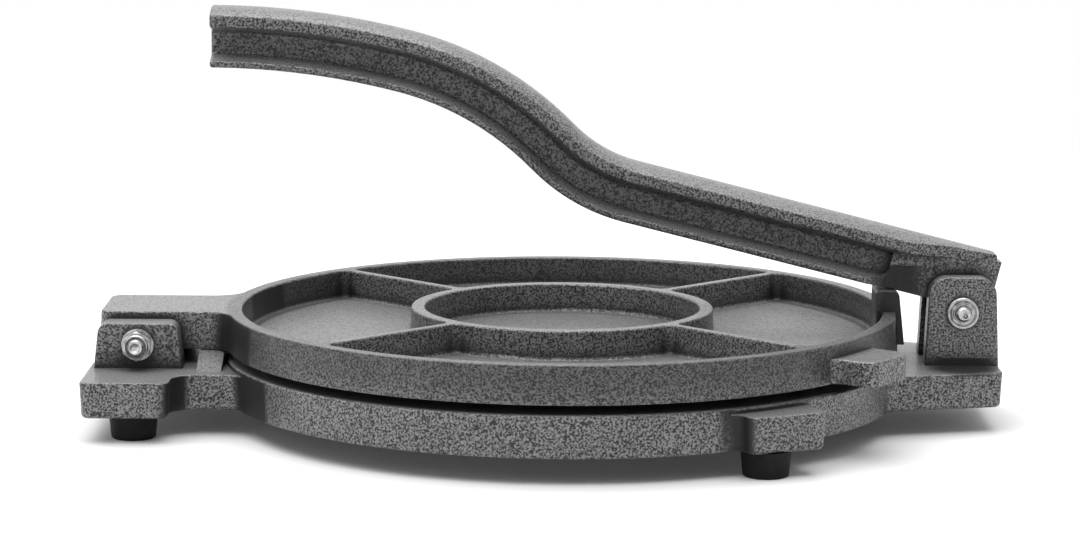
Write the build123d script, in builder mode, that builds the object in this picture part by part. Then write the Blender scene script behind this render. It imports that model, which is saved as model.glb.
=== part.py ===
"""Ten-inch cast-iron tortilla press, closed, with its lever lying over the upper plate.

Millimetres, +Z up. The origin is on the table, under the middle of the press. +X points
from the plate hinge to the lever hinge, and -Y towards the cook. Heights are stacked from
the table up. Places along X are given from the axis of the round plates.
"""

import os
from math import cos, hypot, radians, sin, tan

from build123d import *

os.makedirs("parts", exist_ok=True)

# --- the stack, from the table up -------------------------------------------------------
FOOT_HEIGHT = 9.5  # rubber foot below the castings
BASE_DEPTH = 15.5  # round part of the base
PLATE_GAP = 3.5  # room that the closed plates leave for dough
PLATE_DEPTH = 14.0  # rim of the upper plate
PAD_STEP = 2.0  # cross-bar, extension and lugs lie this far below the base's face

# --- round plates -----------------------------------------------------------------------
PLATE_RADIUS = 127.0  # at the top of the upper plate's rim
BASE_LIP = 1.0  # edge of the base beyond the upper plate's
RIM_WALL = 5.2
RING_RADIUS = 57.5  # outside of the ring inside the rim
RING_WALL = 5.0
RIB_WIDTH = 3.6
DRAFT = 3.0  # degrees that cast walls lean
PLATE_FLOOR = 3.0  # thickness of the upper plate under its pockets
BASE_FLOOR = 4.5  # thickness of the base over its pockets
POCKET_CORNER = 3.5  # upright corners where ribs meet ring and rim
POCKET_FILLET = 1.5  # round the floor of a pocket
EDGE = 0.7  # broken edge of a casting

# --- plate hinge, on the left -----------------------------------------------------------
HINGE_SETBACK = 31.5  # bolt, beyond the plate's edge
HINGE_DROP = 10.3  # bolt below the top of the rim
ARM_WIDTH = 39.4  # at its top
ARM_TAIL = 15.5  # arm beyond the bolt
ARM_CORNER = 4.5
ARM_BLEND = 12.0  # where the arm runs into the rim
KNUCKLE_RADIUS = 8.0  # metal round the bolt, under the arm
HINGE_EAR_GAP = 0.4  # arm to ear, each side
HINGE_EAR_WALL = 11.3
HINGE_EAR_FOOT = 34.4  # width of the ear where it leaves the cross-bar
HINGE_EAR_HEAD = 29.4  # width of the ear at its top
HINGE_EAR_CORNER = 4.0
HINGE_EAR_RISE = 7.8  # top of the ear above the bolt
REST_BAR_REACH = 9.4  # bar on the base that the plate's arm rests on, beyond the plate
REST_BAR_TOP = 44.0  # length of its top
REST_BAR_FOOT = 76.0  # and of its foot, on the base's arm
PLATE_OPEN = 105.0  # degrees the upper plate swings up
REST_GAP = 0.3  # between parts that touch at a stop

# --- base arms --------------------------------------------------------------------------
CROSSBAR_OVERHANG = 18.5  # left end of the base, beyond the bolt
CROSSBAR_LENGTH = 33.0
CROSSBAR_WIDTH = 125.0
CROSSBAR_STEP = 18.0  # cross-bar beyond each side of the arm
EXTENSION_OVERHANG = 14.1  # right end of the base, beyond the lever's pin
EXTENSION_LAP = 28.0  # it starts so far inside the round part
EXTENSION_ROOT = 92.0  # width where it starts
EXTENSION_TIP = 58.0  # width at the right end
CASTING_CORNER = 3.5  # upright corners in plan
ARM_ROOT_BLEND = 9.0  # where the arms run into the round part
LUG_ROOT_BLEND = 5.5
CASTING_UNDERCUT = 1.8  # rounding under arms and lugs
CHANNEL_REACH = 10.0  # channel under the plate arm's tail, past the bolt
EAR_ROOT = 5.0  # how deep ears are rooted in the base
EAR_EDGE = 0.8  # rounding round an ear's faces

# --- foot lugs and feet -----------------------------------------------------------------
LUG_FOOT_OUT = 1.2  # foot's middle beyond the base's edge
LUG_FOOT_ANGLE = 56.3  # degrees from +X to the foot
LUG_ANGLE = 66.0  # degrees from +X to the way the lug points
LUG_WIDTH = 31.0
LUG_LENGTH = 60.0
LUG_OFFSET = 4.3  # lug's middle line to the right of its foot
LUG_REACH = 9.7  # foot's middle to the lug's face
BAR_FOOT_INSET = 18.4  # from the left end of the base
BAR_FOOT_SIDE = 15.0  # from the side of the cross-bar
FOOT_RADIUS = 9.1
FOOT_TOE_RADIUS = 8.2
FOOT_RECESS_RADIUS = 5.0
FOOT_RECESS = 4.6  # how far the screw head is sunk into the foot
FOOT_WASHER_RADIUS = 4.6
FOOT_WASHER = 0.9
FOOT_SCREW_RADIUS = 2.0
FOOT_SCREW_HEAD_RADIUS = 3.6
FOOT_SCREW_HEAD = 2.4
FOOT_SCREW_GRIP = 9.0  # depth of the hole in the casting
FOOT_SCREW_TIP_GAP = 0.5
FOOT_TOE_FILLET = 1.0

# --- lever hinge, on the right ----------------------------------------------------------
LEVER_SETBACK = 24.2  # pin, beyond the plate's edge
LEVER_RISE = 0.8  # pin above the top of the rim
LEVER_EAR_WALL = 8.0
LEVER_EAR_FOOT = 28.4
LEVER_EAR_HEAD = 25.0
LEVER_EAR_CORNER = 7.0
LEVER_EAR_RISE = 13.4  # top of the ear above the pin
HEAD_WIDTH = 14.0  # lever head between the ears
HEAD_GAP = 0.5  # head to ear, each side

# --- press boss and lifting tab on the upper plate --------------------------------------
BOSS_OVERHANG = 0.6  # outer side of its top beyond the plate's edge
BOSS_THICK = 8.6  # at its top
BOSS_DRAFT = 6.5  # degrees that its outer side leans
BOSS_WIDTH = 20.0
BOSS_CORNER = 2.6
TAB_ANGLE = -36.0
TAB_WIDTH = 28.0
TAB_SHIFT = 4.7  # its middle, to the right of the line at that angle
TAB_REACH = 16.5
TAB_DEPTH = 9.0
TAB_LEFT_CORNER = 4.5
TAB_RIGHT_CORNER = 7.5
TAB_EDGE = 1.0  # rounding along its top
TAB_BLEND = 5.0  # where it runs into the rim

# --- lever ------------------------------------------------------------------------------
LEVER_SLOPE = 14.0  # degrees that the straight part rises to the left
LEVER_SEAT = 1.1  # underside of the lever above the pin
LEVER_DEPTH = 19.4
LEVER_WIDTH = 24.0
LEVER_CROWN = 3.2
STRAIGHT_RUN = 132.5  # pin to the first bend
NECK_RADIUS = 74.0
NECK_ANGLE = 31.5  # degrees that the bend turns
CREST_RADIUS = 107.5
CREST_ANGLE = 31.5
GRIP_RADIUS = 290.0
GRIP_ANGLE = 14.0
WEB = 8.0
BOTTOM_FLANGE = 2.4  # at its edge
TOP_FLANGE = 4.2  # at its edge
FLANGE_DRAFT = 2.2  # flange thickens by this much at the web
WEB_FILLET = 1.8
FLANGE_EDGE = 1.0  # rounding along the flanges
GRIP_EDGE = 0.9  # rounding round the end of the grip
HEAD_TAIL = 11.0  # head beyond the pin
CREST_TAIL = 8.8  # crest of the top flange beyond the pin
CREST_TAIL_CORNER = 2.0
CREST_TAIL_WIDTH = 8.0  # the crest narrows to this
CREST_SIDE = 2.8  # height of its sides above the shoulders
SHOULDER_START = 2.0  # where the shoulders beside the crest start, from the pin
SHOULDER_DROP = 2.1  # how far the shoulders slope down at the tail
HEAD_BARREL = 10.0
RECESS_END = 30.3  # end of the side recess, from the pin
RECESS_LOWER_CORNER = 4.5
RECESS_UPPER_CORNER = 1.5
LOWER_FLANGE_FULL = 40.0  # where the lower flange reaches its full width
FLANGE_TURN_IN = 25.6  # where the top flange starts to narrow
FLANGE_FLUSH = 7.8  # where it is nearly as narrow as the head
FLANGE_LAP = 0.2  # flange wider than the head there

# --- hardware ---------------------------------------------------------------------------
BOLT_RADIUS = 3.0
BOLT_PLAY = 0.08  # running clearance in arm and head
EAR_HOLE_PLAY = 0.25
WASHER_RADIUS = 6.0
WASHER = 1.4
NUT_FLATS = 10.0
NUT_CORNER_ANGLE = 60.0  # degrees from the axis that its corners are turned down at
NUT_DEPTH = 4.0
NUT_COLLAR_RADIUS = 4.6
NUT_COLLAR = 2.0
BOLT_STICKS_OUT = 1.6
BOLT_HEAD = 4.0
PIN_STICKS_OUT = 3.2
CAP_RIM = 0.7
CAP_RIM_WALL = 0.9
PIN_HEAD_RADIUS = 5.0
PIN_HEAD = 2.5
FIT = 0.02  # around fixed hardware

# --- worked out -------------------------------------------------------------------------
SLOPE_COS = cos(radians(LEVER_SLOPE))
SLOPE_SIN = sin(radians(LEVER_SLOPE))
BASE_RADIUS = PLATE_RADIUS + BASE_LIP
BASE_ARM_WIDTH = CROSSBAR_WIDTH - 2 * CROSSBAR_STEP
HINGE_X = -PLATE_RADIUS - HINGE_SETBACK
LEVER_X = PLATE_RADIUS + LEVER_SETBACK
SHOULDER_HEIGHT = LEVER_SEAT + LEVER_DEPTH + LEVER_CROWN - CREST_SIDE
TAIL_REACH = HEAD_TAIL * SLOPE_COS + SHOULDER_HEIGHT * SLOPE_SIN
CROSSBAR_REACH = CROSSBAR_OVERHANG - HINGE_X
# From the middle of the press, which lies between the cross-bar's end and the lever's tail.
DISC_X = (CROSSBAR_REACH - LEVER_X - TAIL_REACH) / 2
EXTENSION_REACH = LEVER_X + EXTENSION_OVERHANG
BAR_FOOT_X = BAR_FOOT_INSET - CROSSBAR_REACH
BAR_FOOT_Y = CROSSBAR_WIDTH / 2 - BAR_FOOT_SIDE
LUG_FOOT_X = (BASE_RADIUS + LUG_FOOT_OUT) * cos(radians(LUG_FOOT_ANGLE))
LUG_FOOT_Y = (BASE_RADIUS + LUG_FOOT_OUT) * sin(radians(LUG_FOOT_ANGLE))
BASE_BOTTOM = FOOT_HEIGHT
BASE_TOP = BASE_BOTTOM + BASE_DEPTH
PAD_TOP = BASE_TOP - PAD_STEP
PAD_DEPTH = PAD_TOP - BASE_BOTTOM
PLATE_BOTTOM = BASE_TOP + PLATE_GAP
RIM_TOP = PLATE_BOTTOM + PLATE_DEPTH
POCKET_RADIUS = PLATE_RADIUS - RIM_WALL
HINGE_Z = RIM_TOP - HINGE_DROP
LEVER_Z = RIM_TOP + LEVER_RISE
HINGE_EAR_INNER = ARM_WIDTH / 2 + PLATE_DEPTH * tan(radians(DRAFT)) + HINGE_EAR_GAP
HINGE_EAR_OUTER = HINGE_EAR_INNER + HINGE_EAR_WALL
LEVER_EAR_INNER = HEAD_WIDTH / 2 + HEAD_GAP
LEVER_EAR_OUTER = LEVER_EAR_INNER + LEVER_EAR_WALL

disc_axis = Vector(DISC_X, 0, 0)
base_plane = Plane(disc_axis + Vector(0, 0, BASE_BOTTOM))
rim_plane = Plane(disc_axis + Vector(0, 0, RIM_TOP))
hinge_point = disc_axis + Vector(HINGE_X, 0, HINGE_Z)
lever_point = disc_axis + Vector(LEVER_X, 0, LEVER_Z)
# Side views: local x to the right, local y up, normal towards the cook.
hinge_side = Plane(hinge_point, x_dir=(1, 0, 0), z_dir=(0, -1, 0))
lever_side = Plane(lever_point, x_dir=(1, 0, 0), z_dir=(0, -1, 0))
# The lever's own side view: local x along the lever to its grip, local y square to it.
lever_along = Plane(
    lever_point, x_dir=(-SLOPE_COS, 0, SLOPE_SIN), z_dir=(0, 1, 0)
)

foot_places = {
    "left_front": disc_axis + Vector(BAR_FOOT_X, -BAR_FOOT_Y),
    "left_back": disc_axis + Vector(BAR_FOOT_X, BAR_FOOT_Y),
    "right_front": disc_axis + Vector(LUG_FOOT_X, -LUG_FOOT_Y),
    "right_back": disc_axis + Vector(LUG_FOOT_X, LUG_FOOT_Y),
}


def draw_pockets():
    """Draw the four pockets between ring and rim, and the round one inside the ring."""
    Circle(POCKET_RADIUS)
    Circle(RING_RADIUS, mode=Mode.SUBTRACT)
    with PolarLocations(0, 4, start_angle=45):
        Rectangle(
            2 * PLATE_RADIUS, RIB_WIDTH, align=(Align.MIN, Align.CENTER), mode=Mode.SUBTRACT
        )
    corners = [corner for face in faces() for corner in face.vertices()]
    fillet(corners, POCKET_CORNER)
    Circle(RING_RADIUS - RING_WALL)


def add_ears(side_plane, foot, head, rise, corner, inner, wall):
    """Stand a pair of ears in the base, either side of a bolt or a pin."""
    ear_bottom = PAD_TOP - EAR_ROOT - side_plane.origin.Z
    for side in (-1, 1):
        with BuildPart(mode=Mode.PRIVATE) as ear:
            with BuildSketch(side_plane.offset(side * inner)):
                with BuildLine(Plane.XY) as outline:
                    Polyline(
                        (-foot / 2, ear_bottom),
                        (foot / 2, ear_bottom),
                        (head / 2, rise),
                        (-head / 2, rise),
                        close=True,
                    )
                make_face(outline.edges())
                fillet(vertices().group_by(Axis.Y)[-1], corner)
            extrude(amount=side * wall)
            flat_sides = ear.faces().filter_by(Axis.Y)
            fillet([edge for face in flat_sides for edge in face.edges()], EAR_EDGE)
        add(ear.part)


def draw_hexagon():
    """Draw the hexagon of the bolt's head and of its nut."""
    RegularPolygon(NUT_FLATS / 2, 6, major_radius=False, rotation=30)


def break_hexagon_corners(end_plane, depth):
    """Turn the corners of a hexagonal head or nut down to its flats at its outer end."""
    with BuildSketch(end_plane) as cone_end:
        Circle(NUT_FLATS / 2)
    extrude(cone_end.sketch, amount=depth, taper=-NUT_CORNER_ANGLE, mode=Mode.INTERSECT)


def on_disc(corner):
    """Whether a corner of the arms' plan lies on the edge of the round part."""
    return hypot(corner.X, corner.Y) < BASE_RADIUS


def on_arm(corner):
    """Whether a corner of the arms' plan lies on the side of the base's left arm."""
    return abs(abs(corner.Y) - BASE_ARM_WIDTH / 2) < EDGE


def below_bolt(reach, drop, angle):
    """Depth below the bolt of a corner at (-reach, +drop) after turning down by angle."""
    return reach * sin(radians(angle)) - drop * cos(radians(angle))


# --- upper plate ------------------------------------------------------------------------
# The boss's rounded outer corner stays REST_GAP below the sloping underside of the lever.
boss_corner_x = PLATE_RADIUS + BOSS_OVERHANG - BOSS_CORNER
boss_corner_z = (
    LEVER_SEAT - REST_GAP - BOSS_CORNER - (boss_corner_x - LEVER_X) * SLOPE_SIN
) / SLOPE_COS
BOSS_RISE = LEVER_RISE + boss_corner_z + BOSS_CORNER

with BuildPart() as upper_plate:
    with BuildSketch(rim_plane):
        Circle(PLATE_RADIUS)
        with Locations((HINGE_X - ARM_TAIL, 0)):
            Rectangle(ARM_TAIL - HINGE_X, ARM_WIDTH, align=(Align.MIN, Align.CENTER))
        fillet(vertices().sort_by(Axis.X)[:2], ARM_CORNER)
        fillet(vertices().sort_by(Axis.X)[4:6], ARM_BLEND)
    extrude(amount=-PLATE_DEPTH, taper=-DRAFT)
    fillet(upper_plate.faces().sort_by(Axis.Z)[-1].edges(), EDGE)
    with BuildSketch(rim_plane):
        draw_pockets()
    extrude(amount=PLATE_FLOOR - PLATE_DEPTH, taper=DRAFT, mode=Mode.SUBTRACT)
    rim_face = upper_plate.faces().sort_by(Axis.Z)[-1]
    fillet([edge for wire in rim_face.inner_wires() for edge in wire.edges()], EDGE)
    pocket_floors = upper_plate.faces().filter_by(Axis.Z).group_by(Axis.Z)[1]
    fillet([edge for floor in pocket_floors for edge in floor.edges()], POCKET_FILLET)
    with BuildSketch(hinge_side):
        Circle(KNUCKLE_RADIUS)
    extrude(amount=ARM_WIDTH / 2 - EDGE, both=True)
    with BuildPart(mode=Mode.PRIVATE) as boss:
        with BuildSketch(Plane(rim_plane.origin, x_dir=(1, 0, 0), z_dir=(0, -1, 0))):
            boss_height = PLATE_DEPTH - PLATE_FLOOR / 2 + BOSS_RISE
            boss_foot_x = PLATE_RADIUS + BOSS_OVERHANG + boss_height * tan(radians(BOSS_DRAFT))
            boss_top_x = PLATE_RADIUS + BOSS_OVERHANG
            with BuildLine():
                Polyline(
                    (boss_top_x - BOSS_THICK, BOSS_RISE),
                    (boss_top_x, BOSS_RISE),
                    (boss_foot_x, BOSS_RISE - boss_height),
                    (boss_top_x - BOSS_THICK, BOSS_RISE - boss_height),
                    close=True,
                )
            make_face()
        extrude(amount=BOSS_WIDTH / 2, both=True)
        boss_roof = boss.faces().sort_by(Axis.Z)[-1]
        fillet(boss_roof.edges().sort_by(Axis.X)[-1], BOSS_CORNER)
        boss_roof = boss.faces().sort_by(Axis.Z)[-1]
        fillet(boss_roof.edges().sort_by(Axis.X)[0], BOSS_CORNER / 2)
        fillet(boss.faces().sort_by(Axis.X)[-1].edges().filter_by(Axis.Y, reverse=True), EDGE)
    add(boss.part)
    with BuildPart(mode=Mode.PRIVATE) as tab:
        with BuildSketch(rim_plane.offset(-PLATE_DEPTH)):
            Circle(PLATE_RADIUS)
            with Locations(Location((0, 0), TAB_ANGLE)):
                with Locations((0, TAB_SHIFT)):
                    Rectangle(
                        PLATE_RADIUS + TAB_REACH, TAB_WIDTH, align=(Align.MIN, Align.CENTER)
                    )
            fillet(vertices().sort_by(Axis.X)[-1], TAB_RIGHT_CORNER)
            fillet(vertices().sort_by(Axis.Y)[0], TAB_LEFT_CORNER)
            tab_roots = vertices().group_by(SortBy.DISTANCE)[0]
            fillet(tab_roots, TAB_BLEND)
        extrude(amount=TAB_DEPTH)
        fillet(tab.faces().sort_by(Axis.Z)[-1].edges(), TAB_EDGE)
        with BuildSketch(rim_plane.offset(-PLATE_DEPTH)):
            Circle(POCKET_RADIUS + EDGE)
        extrude(amount=TAB_DEPTH, mode=Mode.SUBTRACT)
    add(tab.part)
    with Locations(hinge_side):
        Hole(BOLT_RADIUS + BOLT_PLAY)
upper_plate.part.label = "upper_plate"

# --- base -------------------------------------------------------------------------------
tail_drop = below_bolt(ARM_TAIL, HINGE_DROP, PLATE_OPEN)
CHANNEL_FLOOR = HINGE_Z - tail_drop - REST_GAP
pad_plane = base_plane.offset(PAD_DEPTH)

with BuildPart() as base_plate:
    with BuildSketch(pad_plane):
        Circle(BASE_RADIUS - EDGE / 2)
        with Locations((-CROSSBAR_REACH, 0)):
            Rectangle(CROSSBAR_REACH, BASE_ARM_WIDTH, align=(Align.MIN, Align.CENTER))
            Rectangle(CROSSBAR_LENGTH, CROSSBAR_WIDTH, align=(Align.MIN, Align.CENTER))
        with BuildLine():
            Polyline(
                (BASE_RADIUS - EXTENSION_LAP, -EXTENSION_ROOT / 2),
                (EXTENSION_REACH, -EXTENSION_TIP / 2),
                (EXTENSION_REACH, EXTENSION_TIP / 2),
                (BASE_RADIUS - EXTENSION_LAP, EXTENSION_ROOT / 2),
                close=True,
            )
        make_face()
        for side in (-1, 1):
            with Locations(Location((LUG_FOOT_X, side * LUG_FOOT_Y), side * LUG_ANGLE)):
                with Locations((LUG_REACH, -side * LUG_OFFSET)):
                    Rectangle(LUG_LENGTH, LUG_WIDTH, align=(Align.MAX, Align.CENTER))
        fillet([v for v in vertices() if not on_disc(v) and not on_arm(v)], CASTING_CORNER)
        at_lugs = [v for v in vertices() if abs(v.Y) > LUG_FOOT_Y / 2]
        fillet([v for v in at_lugs if on_disc(v)], LUG_ROOT_BLEND)
        at_arms = [v for v in vertices() if abs(v.Y) < LUG_FOOT_Y / 2]
        fillet([v for v in at_arms if on_disc(v) or on_arm(v)], ARM_ROOT_BLEND)
    extrude(amount=-PAD_DEPTH, taper=DRAFT)
    fillet(base_plate.faces().sort_by(Axis.Z)[-1].edges(), EDGE)
    fillet(base_plate.faces().sort_by(Axis.Z)[0].edges(), CASTING_UNDERCUT)
    with BuildSketch(base_plane.offset(BASE_DEPTH)):
        Circle(BASE_RADIUS)
    extrude(amount=-BASE_DEPTH, taper=DRAFT)
    fillet(base_plate.faces().sort_by(Axis.Z)[-1].edges(), EDGE)
    with BuildSketch(base_plane):
        draw_pockets()
    extrude(amount=BASE_DEPTH - BASE_FLOOR, taper=DRAFT, mode=Mode.SUBTRACT)
    add_ears(
        hinge_side,
        foot=HINGE_EAR_FOOT,
        head=HINGE_EAR_HEAD,
        rise=HINGE_EAR_RISE,
        corner=HINGE_EAR_CORNER,
        inner=HINGE_EAR_INNER,
        wall=HINGE_EAR_WALL,
    )
    add_ears(
        lever_side,
        foot=LEVER_EAR_FOOT,
        head=LEVER_EAR_HEAD,
        rise=LEVER_EAR_RISE,
        corner=LEVER_EAR_CORNER,
        inner=LEVER_EAR_INNER,
        wall=LEVER_EAR_WALL,
    )
    # The channel that the tail of the plate's arm turns down into.
    with BuildSketch(Plane(disc_axis + Vector(0, 0, CHANNEL_FLOOR))):
        with Locations((HINGE_X + CHANNEL_REACH, 0)):
            Rectangle(
                2 * HINGE_EAR_FOOT, 2 * HINGE_EAR_INNER, align=(Align.MAX, Align.CENTER)
            )
    extrude(amount=PAD_TOP - CHANNEL_FLOOR, mode=Mode.SUBTRACT)
    # The bar that the plate's arm rests on when closed.
    bar_start = disc_axis + Vector(-PLATE_RADIUS - REST_BAR_REACH, 0, PAD_TOP)
    bar_height = PLATE_BOTTOM - REST_GAP - PAD_TOP
    with BuildPart(mode=Mode.PRIVATE) as rest_bar:
        with BuildSketch(Plane(bar_start, x_dir=(0, 1, 0), z_dir=(1, 0, 0))):
            with BuildLine():
                Polyline(
                    (-REST_BAR_FOOT / 2, 0),
                    (-REST_BAR_TOP / 2, bar_height),
                    (REST_BAR_TOP / 2, bar_height),
                    (REST_BAR_FOOT / 2, 0),
                    (REST_BAR_FOOT / 2, -EAR_ROOT),
                    (-REST_BAR_FOOT / 2, -EAR_ROOT),
                    close=True,
                )
            make_face()
        extrude(amount=REST_BAR_REACH)
        bar_top = rest_bar.faces().sort_by(Axis.Z)[-1]
        fillet(bar_top.edges().filter_by(Axis.X) + bar_top.edges().sort_by(Axis.X)[:1], EAR_EDGE)
    add(rest_bar.part)
    with Locations(hinge_side, lever_side):
        Hole(BOLT_RADIUS + EAR_HOLE_PLAY)
    with Locations(*foot_places.values()):
        with Locations((0, 0, BASE_BOTTOM)):
            Cylinder(
                FOOT_SCREW_RADIUS + FIT,
                FOOT_SCREW_GRIP,
                align=(Align.CENTER, Align.CENTER, Align.MIN),
                mode=Mode.SUBTRACT,
            )
base_plate.part.label = "base_plate"

# --- lever ------------------------------------------------------------------------------
half_web = WEB / 2
half_width = LEVER_WIDTH / 2
half_head = HEAD_WIDTH / 2
flange_low = LEVER_DEPTH - TOP_FLANGE
head_side = flange_low - FLANGE_DRAFT * (half_head - half_web) / (half_width - half_web)
lever_crown = LEVER_DEPTH + LEVER_CROWN
lever_middle = lever_along.from_local_coords((0, LEVER_SEAT + LEVER_DEPTH / 2, 0))
# Seen from above: local x along the lever, local y across it, normal square to it.
lever_plan = Plane(lever_middle, x_dir=lever_along.x_dir, z_dir=lever_along.y_dir)


def across_lever(station):
    """Plane square to the lever, so far from the pin: x across, y up from the seat."""
    place = lever_along.from_local_coords((station, LEVER_SEAT, 0))
    return Plane(place, x_dir=(0, -1, 0), z_dir=lever_along.x_dir)


def draw_crowned(half_outline, crown):
    """Draw a section from the right half of its outline, closed on top by a crown."""
    left_half = [(-x, y) for x, y in reversed(half_outline)]
    with BuildLine(Plane.XY) as outline:
        Polyline(*left_half, *half_outline)
        ThreePointArc(half_outline[-1], (0, crown), left_half[0])
    make_face(outline.edges())


with BuildPart() as lever:
    # The I-shaped bar is swept along its own underside.
    with BuildLine(lever_along) as underside:
        straight = Line((-HEAD_TAIL, LEVER_SEAT), (STRAIGHT_RUN, LEVER_SEAT))
        neck = JernArc(straight @ 1, straight % 1, NECK_RADIUS, NECK_ANGLE)
        crest = JernArc(neck @ 1, neck % 1, CREST_RADIUS, -CREST_ANGLE)
        JernArc(crest @ 1, crest % 1, GRIP_RADIUS, -GRIP_ANGLE)
    with BuildSketch(across_lever(-HEAD_TAIL)):
        bar_half = [
            (half_width, 0),
            (half_width, BOTTOM_FLANGE),
            (half_web, BOTTOM_FLANGE + FLANGE_DRAFT),
            (half_web, flange_low - FLANGE_DRAFT),
            (half_width, flange_low),
            (half_width, LEVER_DEPTH),
        ]
        draw_crowned(bar_half, lever_crown)
        fillet([v for v in vertices() if abs(v.X) < half_head], WEB_FILLET)
        fillet([v for v in vertices() if abs(v.X) > half_head], FLANGE_EDGE)
    sweep(path=underside.wires()[0])
    grip_end = lever.faces().sort_by(Axis.X)[0]
    fillet(grip_end.edges(), GRIP_EDGE)
    # The head between the ears is solid.
    with BuildSketch(lever_along):
        Circle(HEAD_BARREL)
        with Locations((-HEAD_TAIL, LEVER_SEAT)):
            Rectangle(
                HEAD_TAIL + RECESS_END + RECESS_LOWER_CORNER,
                flange_low,
                align=(Align.MIN, Align.MIN),
            )
        with BuildSketch(mode=Mode.PRIVATE) as recess:
            with Locations((RECESS_END, LEVER_SEAT + BOTTOM_FLANGE + FLANGE_DRAFT / 2)):
                Rectangle(
                    2 * RECESS_LOWER_CORNER,
                    head_side - BOTTOM_FLANGE - FLANGE_DRAFT / 2,
                    align=(Align.MIN, Align.MIN),
                )
            recess_corners = recess.vertices().group_by(Axis.X)[0].sort_by(Axis.Y)
            fillet(recess_corners[0], RECESS_LOWER_CORNER)
            fillet(recess.vertices().sort_by(Axis.Y)[-2:].sort_by(Axis.X)[0], RECESS_UPPER_CORNER)
        add(recess.sketch, mode=Mode.SUBTRACT)
    extrude(amount=half_head, both=True)
    for side in (-1, 1):
        # Beside the head there is no lower flange, and the upper one's underside rises.
        with BuildSketch(lever_along.offset(side * half_head)):
            with BuildLine():
                Polyline(
                    (RECESS_END, LEVER_SEAT + head_side),
                    (FLANGE_FLUSH, LEVER_SEAT + flange_low + FLANGE_DRAFT),
                    (-LEVER_WIDTH, LEVER_SEAT + flange_low + FLANGE_DRAFT),
                    (-LEVER_WIDTH, -HEAD_BARREL),
                    (RECESS_END, -HEAD_BARREL),
                    close=True,
                )
            make_face()
        extrude(amount=side * half_width, mode=Mode.SUBTRACT)
        # Seen from above, the lower flange starts where the head ends.
        with BuildSketch(lever_plan):
            with BuildLine():
                Polyline(
                    (RECESS_END, side * half_head),
                    (LOWER_FLANGE_FULL, side * (half_width + FLANGE_LAP)),
                    (RECESS_END, side * (half_width + FLANGE_LAP)),
                    close=True,
                )
            make_face()
        extrude(amount=-LEVER_DEPTH, mode=Mode.SUBTRACT)
        # The upper flange draws in over the head until it runs between the ears.
        with BuildSketch(lever_plan):
            with BuildLine():
                Polyline(
                    (FLANGE_TURN_IN, side * (half_width + FLANGE_LAP)),
                    (FLANGE_FLUSH, side * (half_head + FLANGE_LAP)),
                    (-LEVER_WIDTH, side * half_head),
                    (-LEVER_WIDTH, side * (half_width + FLANGE_LAP)),
                    close=True,
                )
            make_face()
        extrude(amount=LEVER_DEPTH, mode=Mode.SUBTRACT)
        # Towards the tail its crest narrows between two sloping shoulders.
        shoulder_start = lever_along.from_local_coords(
            (SHOULDER_START, SHOULDER_HEIGHT, side * half_head)
        )
        shoulder_inside = lever_along.from_local_coords(
            (-HEAD_TAIL, SHOULDER_HEIGHT, side * CREST_TAIL_WIDTH / 2)
        )
        shoulder_outside = lever_along.from_local_coords(
            (-HEAD_TAIL, SHOULDER_HEIGHT - SHOULDER_DROP, side * half_head)
        )
        inward = shoulder_inside - shoulder_start
        shoulder_up = (shoulder_outside - shoulder_start).cross(inward) * side
        with BuildPart(mode=Mode.PRIVATE) as beside_crest:
            with BuildSketch(lever_plan):
                with BuildLine():
                    Polyline(
                        (SHOULDER_START, side * half_head),
                        (-HEAD_TAIL, side * CREST_TAIL_WIDTH / 2),
                        (-LEVER_WIDTH, side * CREST_TAIL_WIDTH / 2),
                        (-LEVER_WIDTH, side * half_width),
                        (SHOULDER_START, side * half_width),
                        close=True,
                    )
                make_face()
            extrude(amount=LEVER_DEPTH)
            with BuildSketch(Plane(shoulder_start, x_dir=inward, z_dir=shoulder_up)):
                Rectangle(4 * LEVER_WIDTH, 4 * LEVER_WIDTH)
            extrude(amount=LEVER_DEPTH, mode=Mode.INTERSECT)
        add(beside_crest.part, mode=Mode.SUBTRACT)
    # The crest ends short of the head, with a round corner, so it turns in above the base.
    crest_end = Vector(-CREST_TAIL, LEVER_SEAT + lever_crown)
    with BuildSketch(lever_along):
        with Locations((-CREST_TAIL, SHOULDER_HEIGHT)):
            Rectangle(HEAD_TAIL, LEVER_DEPTH, align=(Align.MAX, Align.MIN))
        with Locations(crest_end):
            Rectangle(2 * CREST_TAIL_CORNER, 2 * CREST_TAIL_CORNER)
        with Locations(crest_end + Vector(CREST_TAIL_CORNER, -CREST_TAIL_CORNER)):
            Circle(CREST_TAIL_CORNER, mode=Mode.SUBTRACT)
    extrude(amount=LEVER_WIDTH, both=True, mode=Mode.SUBTRACT)
    with Locations(lever_side):
        Hole(BOLT_RADIUS + BOLT_PLAY)
lever.part.label = "lever"

# --- plate hinge bolt, with its washers and nut -----------------------------------------
washer_face = HINGE_EAR_OUTER + WASHER


with BuildPart() as hinge_bolt:
    with BuildSketch(hinge_side.offset(-washer_face)):
        Circle(BOLT_RADIUS)
    extrude(amount=2 * washer_face + NUT_DEPTH + NUT_COLLAR + BOLT_STICKS_OUT)
    bolt_end = hinge_bolt.faces().sort_by(Axis.Y)[0]
    chamfer(bolt_end.edges(), BOLT_RADIUS / 6)
    with BuildPart(mode=Mode.PRIVATE) as bolt_head:
        with BuildSketch(hinge_side.offset(-washer_face)):
            draw_hexagon()
        extrude(amount=-BOLT_HEAD)
        break_hexagon_corners(hinge_side.offset(-washer_face - BOLT_HEAD), BOLT_HEAD)
    add(bolt_head.part)
hinge_bolt.part.label = "hinge_bolt"

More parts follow.
